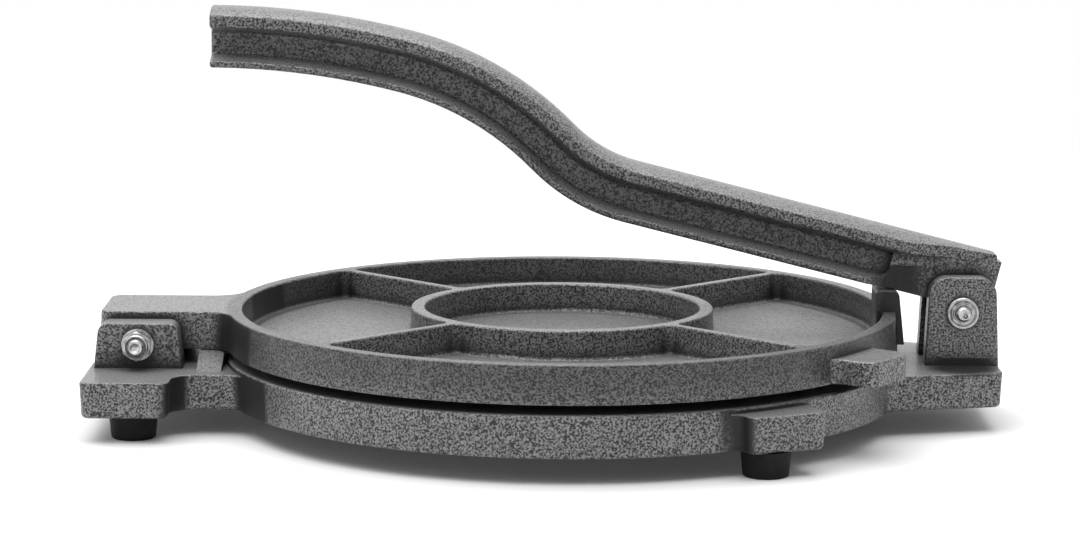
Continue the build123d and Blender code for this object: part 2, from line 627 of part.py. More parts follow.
with BuildPart() as hinge_nut:
    with BuildSketch(hinge_side.offset(washer_face)):
        draw_hexagon()
    extrude(amount=NUT_DEPTH)
    break_hexagon_corners(hinge_side.offset(washer_face + NUT_DEPTH), -NUT_DEPTH)
    with BuildSketch(hinge_side.offset(washer_face + NUT_DEPTH)):
        Circle(NUT_COLLAR_RADIUS)
    extrude(amount=NUT_COLLAR)
    fillet(hinge_nut.faces().sort_by(Axis.Y)[0].edges(), NUT_COLLAR / 3)
    with Locations(hinge_side.offset(washer_face + NUT_DEPTH)):
        Hole(BOLT_RADIUS + FIT)
hinge_nut.part.label = "hinge_nut"


def make_washer(plane):
    """A flat washer standing on a plane."""
    with BuildPart() as washer:
        with BuildSketch(plane):
            Circle(WASHER_RADIUS)
            Circle(BOLT_RADIUS + EAR_HOLE_PLAY, mode=Mode.SUBTRACT)
        extrude(amount=WASHER)
    return washer.part


hinge_washer_front = make_washer(hinge_side.offset(HINGE_EAR_OUTER))
hinge_washer_front.label = "hinge_washer_front"
hinge_washer_back = make_washer(hinge_side.offset(-washer_face))
hinge_washer_back.label = "hinge_washer_back"

# --- lever pin, with its cap and washer -------------------------------------------------
pin_back = LEVER_EAR_OUTER + WASHER

with BuildPart() as lever_pin:
    with BuildSketch(lever_side.offset(-pin_back)):
        Circle(BOLT_RADIUS)
    extrude(amount=pin_back + LEVER_EAR_OUTER + WASHER + PIN_STICKS_OUT)
    fillet(lever_pin.faces().sort_by(Axis.Y)[0].edges(), BOLT_RADIUS / 2)
    with BuildSketch(lever_side.offset(-pin_back)):
        Circle(PIN_HEAD_RADIUS)
    extrude(amount=-PIN_HEAD)
    fillet(lever_pin.faces().sort_by(Axis.Y)[-1].edges(), PIN_HEAD / 2)
lever_pin.part.label = "lever_pin"

with BuildPart() as lever_pin_cap:
    with BuildSketch(lever_side.offset(LEVER_EAR_OUTER)):
        Circle(WASHER_RADIUS)
    extrude(amount=WASHER + CAP_RIM)
    with BuildSketch(lever_side.offset(LEVER_EAR_OUTER + WASHER)):
        Circle(WASHER_RADIUS - CAP_RIM_WALL)
    extrude(amount=CAP_RIM, mode=Mode.SUBTRACT)
    with Locations(lever_side.offset(LEVER_EAR_OUTER + WASHER)):
        Hole(BOLT_RADIUS + FIT)
lever_pin_cap.part.label = "lever_pin_cap"

lever_washer_back = make_washer(lever_side.offset(-pin_back))
lever_washer_back.label = "lever_washer_back"

# --- feet, each with a washer and a screw sunk into it ----------------------------------
washer_seat = FOOT_RECESS - FOOT_WASHER
foot_parts = []
for name, place in foot_places.items():
    ground = Plane(place)
    with BuildPart() as foot:
        with BuildSketch(ground):
            Circle(FOOT_TOE_RADIUS)
        with BuildSketch(ground.offset(FOOT_HEIGHT)):
            Circle(FOOT_RADIUS)
        loft()
        fillet(foot.faces().sort_by(Axis.Z)[0].edges(), FOOT_TOE_FILLET)
        with BuildSketch(ground):
            Circle(FOOT_RECESS_RADIUS)
        extrude(amount=FOOT_RECESS, mode=Mode.SUBTRACT)
        with Locations(ground):
            Hole(FOOT_SCREW_RADIUS + FIT)
    foot.part.label = "foot_" + name

    with BuildPart() as foot_washer:
        with BuildSketch(ground.offset(washer_seat)):
            Circle(FOOT_WASHER_RADIUS)
            Circle(FOOT_SCREW_RADIUS + EAR_HOLE_PLAY, mode=Mode.SUBTRACT)
        extrude(amount=FOOT_WASHER)
    foot_washer.part.label = "foot_washer_" + name

    with BuildPart() as foot_screw:
        with BuildSketch(ground.offset(washer_seat)):
            Circle(FOOT_SCREW_HEAD_RADIUS)
        extrude(amount=-FOOT_SCREW_HEAD)
        fillet(foot_screw.faces().sort_by(Axis.Z)[0].edges(), FOOT_SCREW_HEAD / 3)
        with BuildSketch(ground.offset(washer_seat)):
            Circle(FOOT_SCREW_RADIUS)
        extrude(amount=BASE_BOTTOM + FOOT_SCREW_GRIP - FOOT_SCREW_TIP_GAP - washer_seat)
        with BuildSketch(ground.offset(washer_seat - FOOT_SCREW_HEAD)):
            Rectangle(FOOT_SCREW_HEAD_RADIUS, FOOT_SCREW_HEAD / 3)
            Rectangle(FOOT_SCREW_HEAD / 3, FOOT_SCREW_HEAD_RADIUS)
        extrude(amount=FOOT_SCREW_HEAD / 2, mode=Mode.SUBTRACT)
    foot_screw.part.label = "foot_screw_" + name
    foot_parts += [foot.part, foot_washer.part, foot_screw.part]

export_step(base_plate.part, "parts/base_plate.step")
export_step(upper_plate.part, "parts/upper_plate.step")
export_step(lever.part, "parts/lever.step")
export_step(hinge_bolt.part, "parts/hinge_bolt.step")
export_step(hinge_nut.part, "parts/hinge_nut.step")
export_step(hinge_washer_front, "parts/hinge_washer_front.step")
export_step(hinge_washer_back, "parts/hinge_washer_back.step")
export_step(lever_pin.part, "parts/lever_pin.step")
export_step(lever_pin_cap.part, "parts/lever_pin_cap.step")
export_step(lever_washer_back, "parts/lever_washer_back.step")
for part in foot_parts:
    export_step(part, "parts/" + part.label + ".step")
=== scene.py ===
"""Looks of a ten-inch cast-iron tortilla press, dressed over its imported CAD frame.

The scene is in metres, in the frame of the CAD: +X runs from the plate hinge to the lever
hinge, -Y towards the cook and +Z up, with the table at zero. A size in millimetres is
multiplied by MM, or its class says that it is one.
"""

import logging
import math
from dataclasses import dataclass
from enum import Enum
from typing import Any

import bpy
from mathutils import Matrix, Vector


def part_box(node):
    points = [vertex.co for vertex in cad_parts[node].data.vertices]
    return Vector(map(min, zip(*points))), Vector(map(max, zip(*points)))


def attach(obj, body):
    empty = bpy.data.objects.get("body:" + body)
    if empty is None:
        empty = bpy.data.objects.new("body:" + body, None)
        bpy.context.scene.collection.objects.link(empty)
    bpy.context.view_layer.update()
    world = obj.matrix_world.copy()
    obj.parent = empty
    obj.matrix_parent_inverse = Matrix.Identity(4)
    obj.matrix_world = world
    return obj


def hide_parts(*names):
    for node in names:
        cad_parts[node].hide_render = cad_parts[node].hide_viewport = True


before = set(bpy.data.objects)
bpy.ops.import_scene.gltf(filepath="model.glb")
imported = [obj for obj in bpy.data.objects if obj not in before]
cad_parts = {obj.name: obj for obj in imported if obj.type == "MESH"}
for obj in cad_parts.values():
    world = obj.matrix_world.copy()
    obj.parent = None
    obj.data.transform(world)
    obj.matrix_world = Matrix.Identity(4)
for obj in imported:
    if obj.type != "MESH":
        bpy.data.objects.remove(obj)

log = logging.getLogger("tortilla_press")

MM = 0.001
SMOOTH_ANGLE = math.radians(32)
Colour = tuple[float, float, float, float]
Span = tuple[float, float]
Steps = tuple[tuple[float, float], ...]  # the inset and depth of each ring of a turned end


def grey(level: float, warmth: float = 0.0) -> Colour:
    """Give a grey of a linear level, a little warm or cool.

    Args:
        level: linear brightness, from 0 to 1.
        warmth: how much redder than blue it is, as a share of the level.

    Returns:
        An opaque colour.
    """
    return (level * (1 + warmth), level, level * (1 - warmth), 1.0)


# --- shader maths -----------------------------------------------------------------------


class Socket:
    """A shader socket on which Python arithmetic adds Math nodes."""

    def __init__(self, graph: "Graph", socket: bpy.types.NodeSocket) -> None:
        """Wrap an output socket of a graph."""
        self.graph = graph
        self.socket = socket

    def math(self, operation: str, *others: Any) -> "Socket":
        """Apply a Math node.

        Args:
            operation: the Math node's operation.
            others: the other values, numbers or sockets.

        Returns:
            The node's result.
        """
        inputs = dict(enumerate((self, *others)))
        return self.graph.add("ShaderNodeMath", {"operation": operation}, inputs)

    def __add__(self, other: Any) -> "Socket":
        """Add a number or socket."""
        return self.math("ADD", other)

    def __radd__(self, other: Any) -> "Socket":
        """Add to a number."""
        return self.math("ADD", other)

    def __sub__(self, other: Any) -> "Socket":
        """Subtract a number or socket."""
        return self.math("SUBTRACT", other)

    def __rsub__(self, other: Any) -> "Socket":
        """Subtract from a number."""
        return self.graph.add("ShaderNodeMath", {"operation": "SUBTRACT"}, {0: other, 1: self})

    def __mul__(self, other: Any) -> "Socket":
        """Multiply by a number or socket."""
        return self.math("MULTIPLY", other)

    def __rmul__(self, other: Any) -> "Socket":
        """Multiply a number."""
        return self.math("MULTIPLY", other)

    def __pow__(self, other: Any) -> "Socket":
        """Raise to a power."""
        return self.math("POWER", other)

    def ramp(self, low: float, high: float) -> "Socket":
        """Rise smoothly from 0 at low to 1 at high."""
        settings = {"interpolation_type": "SMOOTHSTEP"}
        inputs = {"Value": self, "From Min": low, "From Max": high}
        return self.graph.add("ShaderNodeMapRange", settings, inputs)


class Graph:
    """A node tree that is built by one method for any node."""

    def __init__(self, tree: bpy.types.NodeTree) -> None:
        """Empty a tree and start on it."""
        self.tree = tree
        tree.nodes.clear()

    def add(
        self,
        kind: str,
        settings: dict[str, Any] | None = None,
        inputs: dict[Any, Any] | None = None,
        output: Any = 0,
    ) -> Socket:
        """Add a node and link it.

        Args:
            kind: the node's type.
            settings: attributes of the node, which are set before its inputs.
            inputs: values or sockets by input name or index.
            output: name or index of the output that is returned.

        Returns:
            The wrapped output, which is empty for a node that has none.
        """
        node = self.tree.nodes.new(kind)
        for name, value in (settings or {}).items():
            setattr(node, name, value)
        for name, value in (inputs or {}).items():
            if isinstance(value, Socket):
                self.tree.links.new(value.socket, node.inputs[name])
            else:
                node.inputs[name].default_value = value
        return Socket(self, node.outputs[output]) if len(node.outputs) else Socket(self, None)

    def blend(self, factor: Any, first: Any, second: Any) -> Socket:
        """Mix two colours by a factor."""
        settings = {"data_type": "RGBA", "clamp_factor": True}
        return self.add(
            "ShaderNodeMix", settings, {"Factor": factor, 6: first, 7: second}, output=2
        )

    def place(self) -> Socket:
        """Give the point in the object's own coordinates, which are the CAD's."""
        return self.add("ShaderNodeTexCoord", output="Object")

    def axes(self, vector: Socket) -> tuple[Socket, ...]:
        """Split a vector into its x, y and z."""
        node = self.add("ShaderNodeSeparateXYZ", inputs={0: vector}).socket.node
        return tuple(Socket(self, output) for output in node.outputs)

    def own_normal_z(self) -> Socket:
        """Give how far a face looks up in the object's own coordinates, from -1 to 1."""
        normal = self.add("ShaderNodeNewGeometry", output="Normal")
        settings = {"vector_type": "NORMAL", "convert_from": "WORLD", "convert_to": "OBJECT"}
        turned = self.add("ShaderNodeVectorTransform", settings, {"Vector": normal})
        return self.axes(turned)[2]

    def background_rays(self) -> Socket:
        """Give 1 to the rays that see the background: the camera's, reflected and refracted."""
        rays = self.add("ShaderNodeLightPath", output="Is Camera Ray")
        for kind in ("Is Glossy Ray", "Is Transmission Ray"):
            rays = rays.math("MAXIMUM", self.add("ShaderNodeLightPath", output=kind))
        return rays

    def openness(self, reach: float) -> Socket:
        """Give 1 on open faces and less where other faces stand within a reach."""
        return self.add("ShaderNodeAmbientOcclusion", {"samples": 8}, {"Distance": reach}, "AO")

    def noise(self, where: Socket, size: float, detail: float = 2.0) -> Socket:
        """Add a noise whose grains have a real size.

        Args:
            where: the coordinates.
            size: size of a grain in metres.
            detail: number of finer octaves.

        Returns:
            A value around one half.
        """
        inputs = {"Vector": where, "Scale": 1 / size, "Detail": detail}
        return self.add("ShaderNodeTexNoise", {"noise_dimensions": "3D"}, inputs)

    def bump(self, height: Socket, strength: float, depth: float, **others: Socket) -> Socket:
        """Raise a relief.

        Args:
            height: the relief, from 0 to 1.
            strength: how much of it shows.
            depth: what a height of 1 stands for, in metres.
            others: the Bump node's other inputs, such as Normal.

        Returns:
            The normal.
        """
        inputs = {"Strength": strength, "Distance": depth, "Height": height, **others}
        return self.add("ShaderNodeBump", inputs=inputs)

    def paint(self, shader: Socket) -> None:
        """Make a shader the material's surface."""
        self.add("ShaderNodeOutputMaterial", inputs={"Surface": shader})


def new_material(name: str) -> tuple[bpy.types.Material, Graph]:
    """Start a node material.

    Args:
        name: the material's name.

    Returns:
        The material and the graph to build it with.
    """
    material = bpy.data.materials.new(name)
    material.use_nodes = True
    return material, Graph(material.node_tree)


# --- finishes ---------------------------------------------------------------------------


# Heights in millimetres, in the gap between base and upper plate and over the hinges.
BASE_HIGH = 25.5
PLATE_LOW = 26.0
PLATE_HIGH = 60.0


@dataclass(frozen=True)
class Spot:
    """The shaded point of a casting, in the casting's own coordinates.

    Right and up are its x and z, aside its distance from the middle plane, and level how
    level its face is, from 0 to 1.
    """

    right: Socket
    aside: Socket
    up: Socket
    level: Socket

    def away(self, x: float, y: float) -> Socket:
        """Give the distance from an upright line, or from its twin behind the middle plane."""
        return ((self.right - x) ** 2 + (self.aside - y) ** 2).math("SQRT")

    def between(self, low: float, high: float) -> Socket:
        """Give 1 between two heights and 0 elsewhere."""
        return self.up.math("GREATER_THAN", low) * self.up.math("LESS_THAN", high)


@dataclass(frozen=True)
class PaintPoolAndShade:
    """A place on a casting, front and back alike, where the paint has run together smooth and
    is darkened as painted shade.

    The place is an upright cylinder between two heights, all in millimetres. Level faces in
    it keep their own finish, unless the painted shade covers them too.
    """

    x: float
    y: float
    inner: float
    outer: float
    low: float = 0.0
    high: float = BASE_HIGH
    on_top: bool = False

    def mask(self, spot: Spot) -> Socket:
        """Build the pool's mask.

        Args:
            spot: the shaded point.

        Returns:
            1 in the pool, falling to 0 at its outer radius.
        """
        away = spot.away(self.x * MM, self.y * MM)
        mask = 1 - away.ramp(self.inner * MM, self.outer * MM)
        mask = mask * spot.between(self.low * MM, self.high * MM)
        return mask if self.on_top else mask * (1 - spot.level)


# Places where the paint lies smooth and is darkened as painted shade
PAINT_POOLS_AND_SHADE = (
    # root of the plate's arm
    PaintPoolAndShade(-117, 38, 16, 21, low=PLATE_LOW, high=PLATE_HIGH),
    # root of the base's arm, and the corner between that arm and the cross-bar
    PaintPoolAndShade(-110, 57, 11, 15),
    PaintPoolAndShade(-139, 53, 8, 10.5),
    # left root of a foot lug, and root of the extension
    PaintPoolAndShade(65.5, 119, 5, 7.5),
    PaintPoolAndShade(122.5, 42, 1, 4.5),
    # side of the boss that the lever presses on
    PaintPoolAndShade(133, 12, 6, 13, low=PLATE_LOW, high=PLATE_HIGH),
    # pad at the foot of a lever ear, darkened on top too as the painted shadow of the ear
    PaintPoolAndShade(156.2, 21, 8, 17.5, low=22, high=26, on_top=True),
)


@dataclass(frozen=True)
class HammeredCoat:
    """Dark-grey hammered coating on cast iron.

    The paint draws up into fine pale worms between dark veins, and it carries metal flakes.
    In inner corners and at each paint pool it lies smooth, and there it is darkened as painted
    shade. It levels on top faces, which are painted lighter as painted light from above. On
    the upper plate's rim it is darker. What is called calm is the share of the pattern that
    is lost, and what is called flat the share of the relief.
    """

    worm: float = 0.74 * MM
    grit_size: float = 0.45
    grit_share: float = 0.28
    cloud: float = 25 * MM
    cloud_swing: float = 0.3
    vein: Colour = grey(0.013)
    flake_tone: Colour = grey(0.235)
    flake_span: Span = (0.34, 0.66)
    flake_mean: float = 0.36
    flake_metal: float = 0.35
    roughness: float = 0.44
    flake_polish: float = 0.08
    specular: float = 0.22
    gloss: float = 0.3
    gloss_roughness: float = 0.28
    relief: float = 0.1 * MM
    relief_strength: float = 0.6
    edge_radius: float = 0.5 * MM
    level_span: Span = (0.55, 0.97)
    # painted light: how much lighter level faces are made
    level_painted_light: float = 1.05
    level_calm: float = 0.55
    level_flat: float = 0.75
    corner_reach: float = 9 * MM
    corner_span: Span = (0.5, 0.86)
    corner_level_loss: float = 0.6
    corner_calm: float = 0.6
    corner_flat: float = 0.9
    corner_cover: float = 0.92
    pools_and_shade: tuple[PaintPoolAndShade, ...] = PAINT_POOLS_AND_SHADE
    # dark tone of the painted shade in corners and at each paint pool
    pool_shade_tone: Colour = grey(0.012)
    pool_specular: float = 0.22
    pool_roughness: float = 0.36
    pool_roughness_swing: float = 0.1
    rim_middle: float = 5.04 * MM
    rim_inner: float = 118 * MM
    rim_outer: float = 127.2 * MM
    rim_fade: float = 1 * MM
    rim_top: float = 43 * MM
    rim_shade: float = 0.52

    def material(self, name: str) -> bpy.types.Material:
        """Build the material.

        Args:
            name: the material's name.

        Returns:
            The finished material.
        """
        material, graph = new_material(name)
        where = graph.place()
        right, depth, up = graph.axes(where)
        level = graph.own_normal_z().ramp(*self.level_span)
        spot = Spot(right, depth.math("ABSOLUTE"), up, level)
        worms = graph.noise(where, self.worm, detail=0.0)
        grit = graph.noise(where, self.worm * self.grit_size, detail=0.0)
        grain = worms * (1 - self.grit_share) + grit * self.grit_share
        clouds = graph.noise(where, self.cloud)
        corner = self.corner(graph, spot)
        rounded = graph.add("ShaderNodeBevel", {"samples": 4}, {"Radius": self.edge_radius})
        height = grain * (1 - corner * self.corner_flat) * (1 - level * self.level_flat)
        bump = graph.bump(height, self.relief_strength, self.relief, Normal=rounded)
        worked = self.worked(graph, spot, grain.ramp(*self.flake_span), clouds, corner, bump)
        pooled_and_shaded = self.pooled_and_shaded(graph, clouds, bump)
        # the smooth paint of corners and of each paint pool is mixed in, darkened as painted
        # shade
        cover = corner * self.corner_cover
        graph.paint(graph.add("ShaderNodeMixShader", inputs={0: cover, 1: worked, 2: pooled_and_shaded}))
        return material

    def corner(self, graph: Graph, spot: Spot) -> Socket:
        """Build the mask of inner corners and paint pool places, which are darkened as painted
        shade.

        Args:
            graph: the material's graph.
            spot: the shaded point.

        Returns:
            1 where the paint lies smooth and is darkened as painted shade.
        """
        # painted shade: ambient occlusion darkens the inner corners
        corner = 1 - graph.openness(self.corner_reach).ramp(*self.corner_span)
        corner = corner * (1 - spot.level * self.corner_level_loss)
        for pool in self.pools_and_shade:
            corner = corner.math("MAXIMUM", pool.mask(spot))
        return corner

    def darker_rim(self, spot: Spot) -> Socket:
        """Build the mask of the upper plate's rim.

        Args:
            spot: the shaded point.

        Returns:
            1 on the rim and 0 elsewhere.
        """
        away = spot.away(self.rim_middle, 0.0)
        ring = away.ramp(self.rim_inner - self.rim_fade, self.rim_inner)
        ring = ring * (1 - away.ramp(self.rim_outer, self.rim_outer + self.rim_fade))
        return ring * spot.between(PLATE_LOW * MM, self.rim_top)

    def worked(
        self,
        graph: Graph,
        spot: Spot,
        flakes: Socket,
        clouds: Socket,
        corner: Socket,
        bump: Socket,
    ) -> Socket:
        """Shade the paint where it has drawn up into its pattern.

        Args:
            graph: the material's graph.
            spot: the shaded point.
            flakes: 0 in a dark vein and 1 on a pale worm.
            clouds: slow changes of tone.
            corner: 1 where the paint lies smooth and is darkened as painted shade.
            bump: the normal.

        Returns:
            The shader.
        """
        contrast = (1 - corner * self.corner_calm) * (1 - spot.level * self.level_calm)
        spread = self.flake_mean + (flakes - self.flake_mean) * contrast
        spread = spread * (1 - self.cloud_swing / 2 + clouds * self.cloud_swing)
        # the upper plate's rim is made darker
        spread = spread * (1 - self.darker_rim(spot) * self.rim_shade)
        # painted light: level faces are made lighter, as if lit from above
        spread = spread * (1 + spot.level * self.level_painted_light)
        return graph.add(
            "ShaderNodeBsdfPrincipled",
            inputs={
                "Base Color": graph.blend(spread, self.vein, self.flake_tone),
                "Metallic": flakes * contrast * self.flake_metal,
                "Roughness": self.roughness - flakes * self.flake_polish,
                "Normal": bump,
                "Specular IOR Level": self.specular,
                "Coat Weight": self.gloss,
                "Coat Roughness": self.gloss_roughness,
            },
        )

    def pooled_and_shaded(self, graph: Graph, clouds: Socket, bump: Socket) -> Socket:
        """Shade the smooth paint of corners and of each paint pool, darkened as painted shade.

        Args:
            graph: the material's graph.
            clouds: slow changes of tone.
            bump: the normal.

        Returns:
            The shader.
        """
        return graph.add(
            "ShaderNodeBsdfPrincipled",
            inputs={
                "Base Color": graph.blend(clouds, self.pool_shade_tone, self.vein),
                "Roughness": self.pool_roughness + clouds * self.pool_roughness_swing,
                "Normal": bump,
                "Specular IOR Level": self.pool_specular,
            },
        )


@dataclass(frozen=True)
class MottledFinish:
    """A finish of two tones in soft blotches, over a fine relief.

    The relief is a grain of its own, or the blotches where no grain is given.
    """

    tone: Colour
    blotch_tone: Colour
    blotch: float
    blotch_detail: float
    blotch_span: Span
    relief: float
    relief_strength: float
    roughness: float
    roughness_swing: float
    grain: float = 0.0
    metallic: float = 0.0
    specular: float = 0.5

    def material(self, name: str) -> bpy.types.Material:
        """Build the material.

        Args:
            name: the material's name.

        Returns:
            The finished material.
        """
        material, graph = new_material(name)
        where = graph.place()
        blotches = graph.noise(where, self.blotch, self.blotch_detail)
        height = graph.noise(where, self.grain) if self.grain else blotches
        mottle = blotches.ramp(*self.blotch_span)
        shader = graph.add(
            "ShaderNodeBsdfPrincipled",
            inputs={
                "Base Color": graph.blend(mottle, self.tone, self.blotch_tone),
                "Metallic": self.metallic,
                "Roughness": self.roughness + blotches * self.roughness_swing,
                "Normal": graph.bump(height, self.relief_strength, self.relief),
                "Specular IOR Level": self.specular,
            },
        )
        graph.paint(shader)
        return material


@dataclass(frozen=True)
class ZincPlate(MottledFinish):
    """Bright zinc plating on turned or rolled steel."""

    tone: Colour = grey(0.5)
    blotch_tone: Colour = grey(0.24, 0.02)
    blotch: float = 2.5 * MM
    blotch_detail: float = 4.0
    blotch_span: Span = (0.4, 0.7)
    relief: float = 0.02 * MM
    relief_strength: float = 0.25
    roughness: float = 0.24
    roughness_swing: float = 0.16
    grain: float = 0.25 * MM
    metallic: float = 1.0


@dataclass(frozen=True)
class BlackRubber(MottledFinish):
    """Matt black moulded rubber."""

    tone: Colour = grey(0.006)
    blotch_tone: Colour = grey(0.014)
    blotch: float = 6 * MM
    blotch_detail: float = 4.0
    blotch_span: Span = (0.45, 0.75)
    relief: float = 0.05 * MM
    relief_strength: float = 0.3
    roughness: float = 0.5
    roughness_swing: float = 0.2
    grain: float = 0.35 * MM
    specular: float = 0.15


@dataclass(frozen=True)
class Nylon(MottledFinish):
    """Grey nylon of a locking nut's ring, darkened by oil."""

    tone: Colour = grey(0.12, 0.03)
    blotch_tone: Colour = grey(0.04, 0.04)
    blotch: float = 1.2 * MM
    blotch_detail: float = 3.0
    blotch_span: Span = (0.4, 0.7)
    relief: float = 0.02 * MM
    relief_strength: float = 0.2
    roughness: float = 0.4
    roughness_swing: float = 0.15


class Finish(Enum):
    """The finishes of the press, each with the way it is made."""

    CASTING = HammeredCoat()
    STEEL = ZincPlate()
    RUBBER = BlackRubber()
    NYLON = Nylon()

    def get(self) -> bpy.types.Material:
        """Give the one material of this finish, made when it is first asked for."""
        name = "press_" + self.name.lower()
        return bpy.data.materials.get(name) or self.value.material(name)


def dress_node(node: str, finish: Finish) -> None:
    """Give a CAD node its finish.

    Args:
        node: the node's name.
        finish: what covers it.
    """
    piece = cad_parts[node]
    for slot in piece.material_slots:
        slot.material = finish.get()
    if not piece.material_slots:
        piece.data.materials.append(finish.get())


# --- sub-assemblies ---------------------------------------------------------------------


@dataclass
class Castings:
    """The three castings: base, upper plate and lever."""

    nodes: tuple[str, ...] = ("base_plate", "upper_plate", "lever")

    def dress(self) -> None:
        """Coat the castings."""
        for node in self.nodes:
            dress_node(node, Finish.CASTING)


@dataclass(frozen=True)
class Station:
    """One ring of a turned piece: its radius, how far towards the cook it lies, and its run-out.

    The run-out is how far its middle lies to the right of and below the axis.
    """

    radius: float
    reach: float
    runout: float = 0.0


def turn(
    name: str, axis_point: Vector, stations: tuple[Station, ...], sides: int = 48
) -> bpy.types.Object:
    """Turn a piece on an axis along Y, drawing its rings out one after another.

    Args:
        name: the piece's name.
        axis_point: a point of the axis, from which the stations reach towards the cook.
        stations: its rings from the back to the front, in metres.
        sides: how many sides each ring has.

    Returns:
        The piece, with its origin at the world's.
    """
    bpy.ops.object.select_all(action="DESELECT")
    first = stations[0]
    bpy.ops.mesh.primitive_circle_add(
        vertices=sides,
        radius=first.radius,
        fill_type="NGON",
        location=axis_point - Vector((0, first.reach, 0)),
        rotation=(math.radians(90), 0, 0),
    )
    piece = bpy.context.object
    piece.name = name
    bpy.ops.object.transform_apply(location=True, rotation=True, scale=True)
    bpy.ops.object.mode_set(mode="EDIT")
    bpy.ops.mesh.select_mode(type="FACE")
    bpy.ops.mesh.select_all(action="SELECT")
    for before, station in zip(stations, stations[1:]):
        bpy.ops.mesh.extrude_region_move(
            TRANSFORM_OT_translate={"value": (0, before.reach - station.reach, 0)}
        )
        grow = station.radius / before.radius
        centre = axis_point - Vector((-before.runout, station.reach, before.runout))
        bpy.ops.transform.resize(value=(grow, 1, grow), center_override=centre)
        drift = station.runout - before.runout
        bpy.ops.transform.translate(value=(drift, 0, -drift))
    bpy.ops.mesh.select_all(action="SELECT")
    bpy.ops.mesh.normals_make_consistent(inside=False)
    bpy.ops.object.mode_set(mode="OBJECT")
    bpy.ops.object.shade_smooth_by_angle(angle=SMOOTH_ANGLE)
    return piece


def fit(piece: bpy.types.Object, finish: Finish, *nodes: str) -> None:
    """Finish a new piece of hardware, put it on the base and let it stand for CAD nodes.

    Args:
        piece: the new piece.
        finish: what it is made of or plated with.
        nodes: the CAD nodes that it stands for.
    """
    piece.data.materials.append(finish.get())
    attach(piece, "base")
    if nodes:
        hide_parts(*nodes)
    log.info("%s turned", piece.name)


def measure(node: str) -> tuple[Vector, float, float]:
    """Measure a CAD node that lies along Y.

    Args:
        node: the node's name.

    Returns:
        A point of its axis in metres, and in millimetres how far its rear and its front end
        reach towards the cook.
    """
    low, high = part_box(node)
    axis = Vector(((low.x + high.x) / 2, 0, (low.z + high.z) / 2))
    return axis, -high.y / MM, -low.y / MM


def rings(
    radius: float, end: float, steps: Steps = ((0.0, 0.0),), way: int = -1, runout: float = 0.0
) -> tuple[Station, ...]:
    """Cut steps from a radius and an end, all in millimetres.

    Args:
        radius: the radius that each step's inset is taken from.
        end: the reach of the end that each step's depth is taken from.
        steps: the inset and depth of each ring.
        way: 1 to go in from a rear end and -1 from a front end.
        runout: how far the rings lie off the axis.

    Returns:
        The rings in metres.
    """
    return tuple(
        Station((radius - inset) * MM, (end + way * depth) * MM, runout * MM)
        for inset, depth in steps
    )


@dataclass
class LeverPin:
    """The lever's pin, dimpled at its riveted end, and the dished cap pushed over it.

    Sizes are in millimetres, and steps are insets from a radius and depths from an end.
    """

    head_radius: float = 5.0
    head_height: float = 2.5
    head_crown: Steps = ((1.3, 0.0), (0.5, 0.3), (0.0, 1.1))
    pin_radius: float = 3.0
    riveted_end: Steps = ((0.0, 1.3), (0.35, 0.5), (0.95, 0.0))
    dimple_radius: float = 0.9
    dimple_runout: float = 0.65
    dimple: Steps = ((0.0, 0.0), (0.225, 0.5), (0.54, 1.1))
    cap_radius: float = 6.0
    cap_back: Steps = ((0.15, 0.0), (0.0, 0.2))
    rolled_rim: Steps = ((0.0, 0.45), (0.25, 0.1), (0.6, 0.0), (0.95, 0.12))
    dish: Steps = ((1.3, 0.65), (1.75, 0.95), (2.1, 0.9))
    lip: Steps = ((2.45, 0.45), (2.75, 0.35), (2.95, 0.9))

    def build(self) -> None:
        """Turn pin and cap in place of the CAD's."""
        axis, back, front = measure("lever_pin")
        pin = turn(
            "lever_pin_turned",
            axis,
            rings(self.head_radius, back, self.head_crown, way=1)
            + rings(self.head_radius, back + self.head_height)
            + rings(self.pin_radius, back + self.head_height)
            + rings(self.pin_radius, front, self.riveted_end)
            + rings(self.dimple_radius, front, self.dimple, runout=self.dimple_runout),
        )
        fit(pin, Finish.STEEL, "lever_pin")
        self.build_cap(axis)

    def build_cap(self, axis: Vector) -> None:
        """Turn the dished cap.

        Args:
            axis: a point of the pin's axis.
        """
        _, back, front = measure("lever_pin_cap")
        face = self.rolled_rim + self.dish + self.lip
        cap = turn(
            "lever_pin_cap_dished",
            axis,
            rings(self.cap_radius, back, self.cap_back, way=1)
            + rings(self.cap_radius, front, face),
        )
        fit(cap, Finish.STEEL, "lever_pin_cap")


